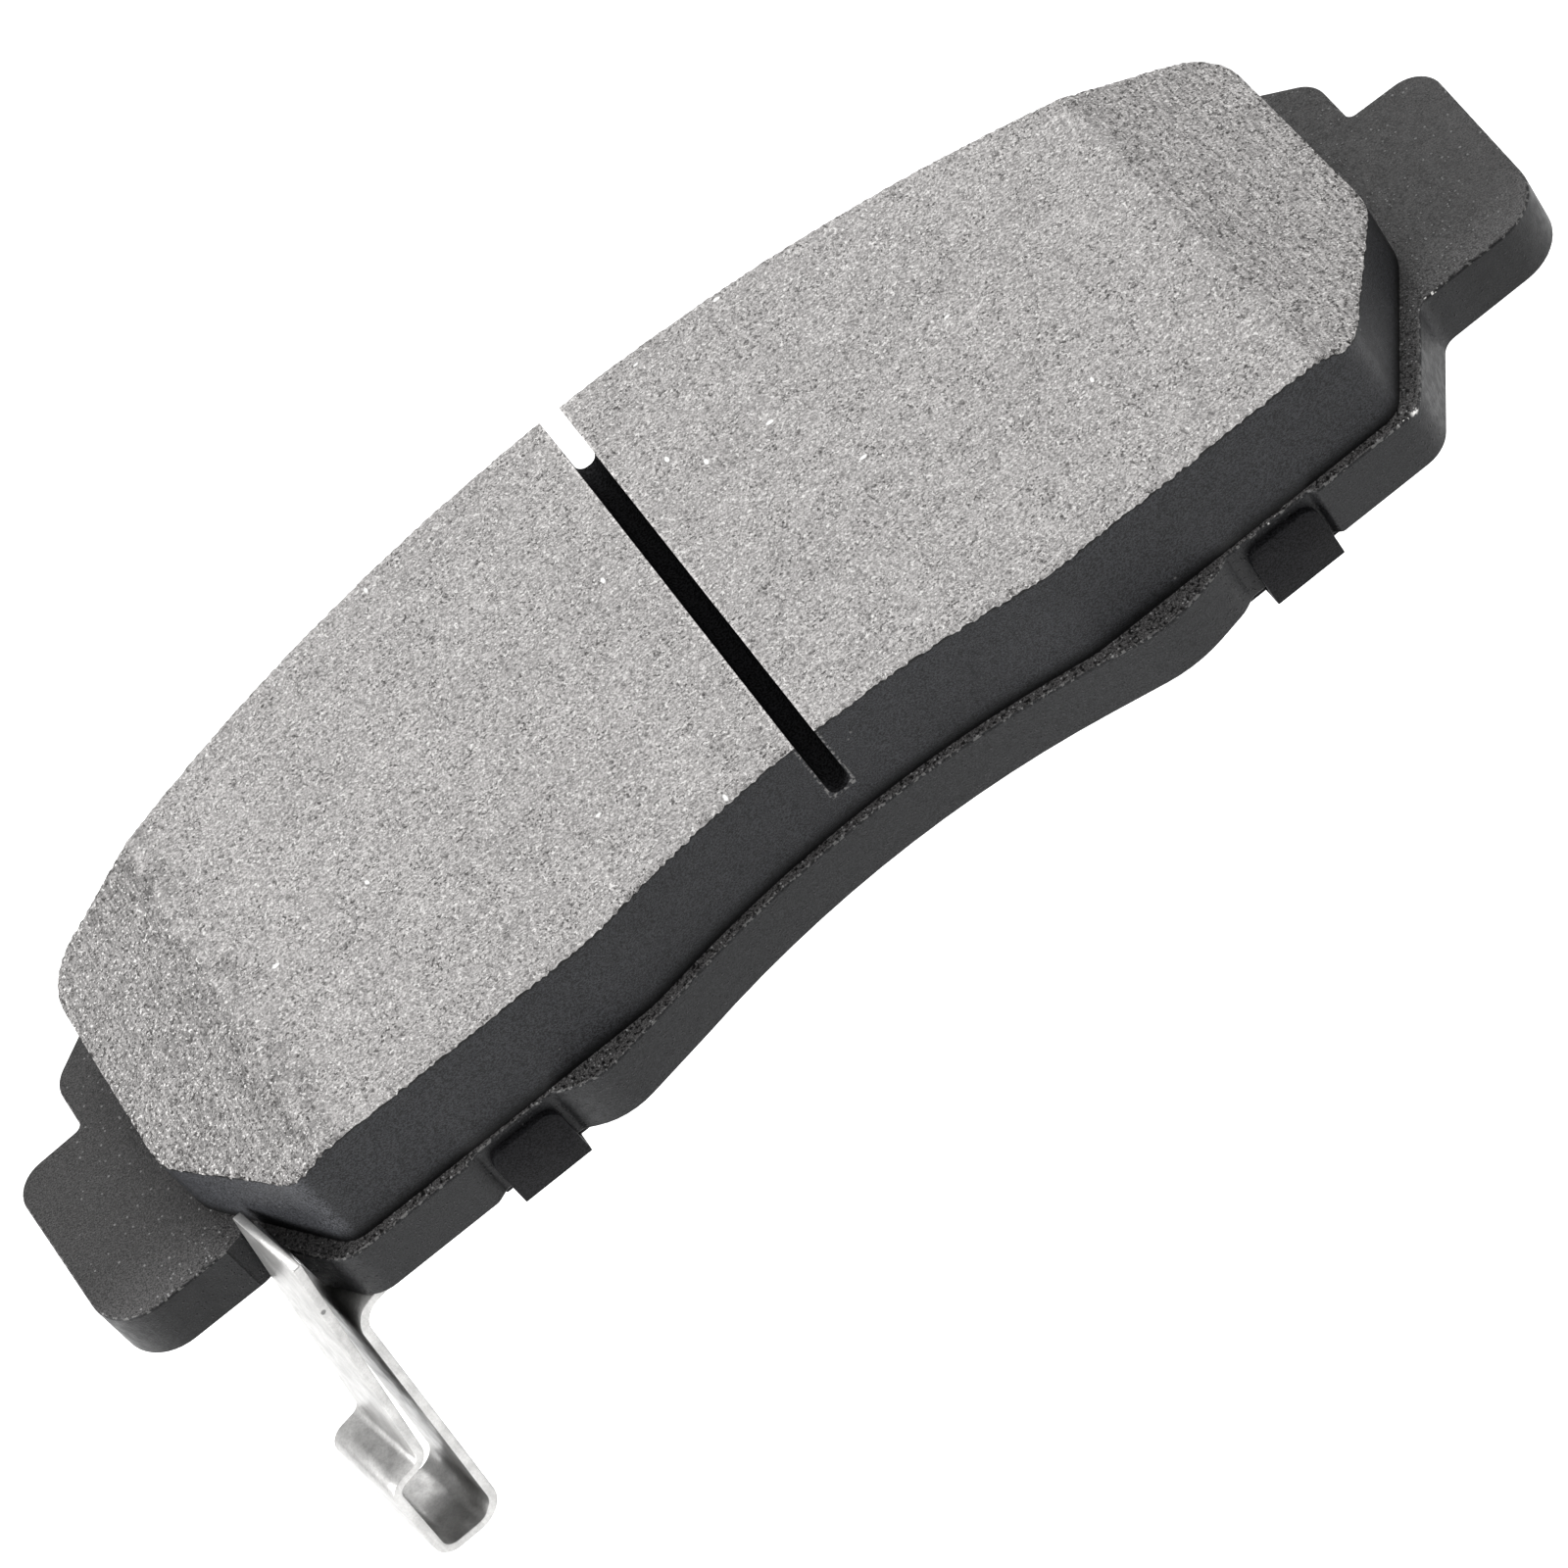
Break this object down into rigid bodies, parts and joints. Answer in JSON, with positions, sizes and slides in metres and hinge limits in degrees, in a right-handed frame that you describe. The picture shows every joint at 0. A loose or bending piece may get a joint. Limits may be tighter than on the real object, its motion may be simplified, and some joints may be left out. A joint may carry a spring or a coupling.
{
  "type": "brake pad",
  "caption": "Disc brake pad: slotted friction block on an eared steel plate, with a clip-on noise shim and a bent spring wear indicator.",
  "frame": {"origin": "where the caliper piston's axis meets the back of the outer shim; on the centre line between the ears", "axes": "+X along the pad (the disc's tangent), +Y radially outward on the disc, +Z from the piston side to the disc"},
  "size_m": [0.1518, 0.0558, 0.0468],
  "materials": {
    "plate_coat": "black powder coat, fine orange peel, satin",
    "underlayer_mix": "moulded, matte charcoal",
    "friction_mix": "ground face with pits and metal flecks; charcoal coat on the sides",
    "shim_rubber": "matte black",
    "shim_core_steel": "rolled",
    "shim_coat": "matte black coat",
    "indicator_steel": "bright zinc, satin",
    "rivet_steel": "zinc plated"
  },
  "bodies": {
    "pad": {"backing_plate": "plate_coat", "underlayer": "underlayer_mix", "friction_lining": "friction_mix", "damping_rubber_front": "shim_rubber", "damping_core": "shim_core_steel", "damping_rubber_back": "shim_rubber", "wear_indicator": "indicator_steel", "indicator_rivet": "rivet_steel"},
    "shim": {"outer_shim": "shim_coat"}
  },
  "joints": [
    {"name": "shim_float", "type": "slide", "parent": "pad", "child": "shim", "axis": [1, 0, 0], "range_m": [-0.0005, 0.0003]}
  ]
}
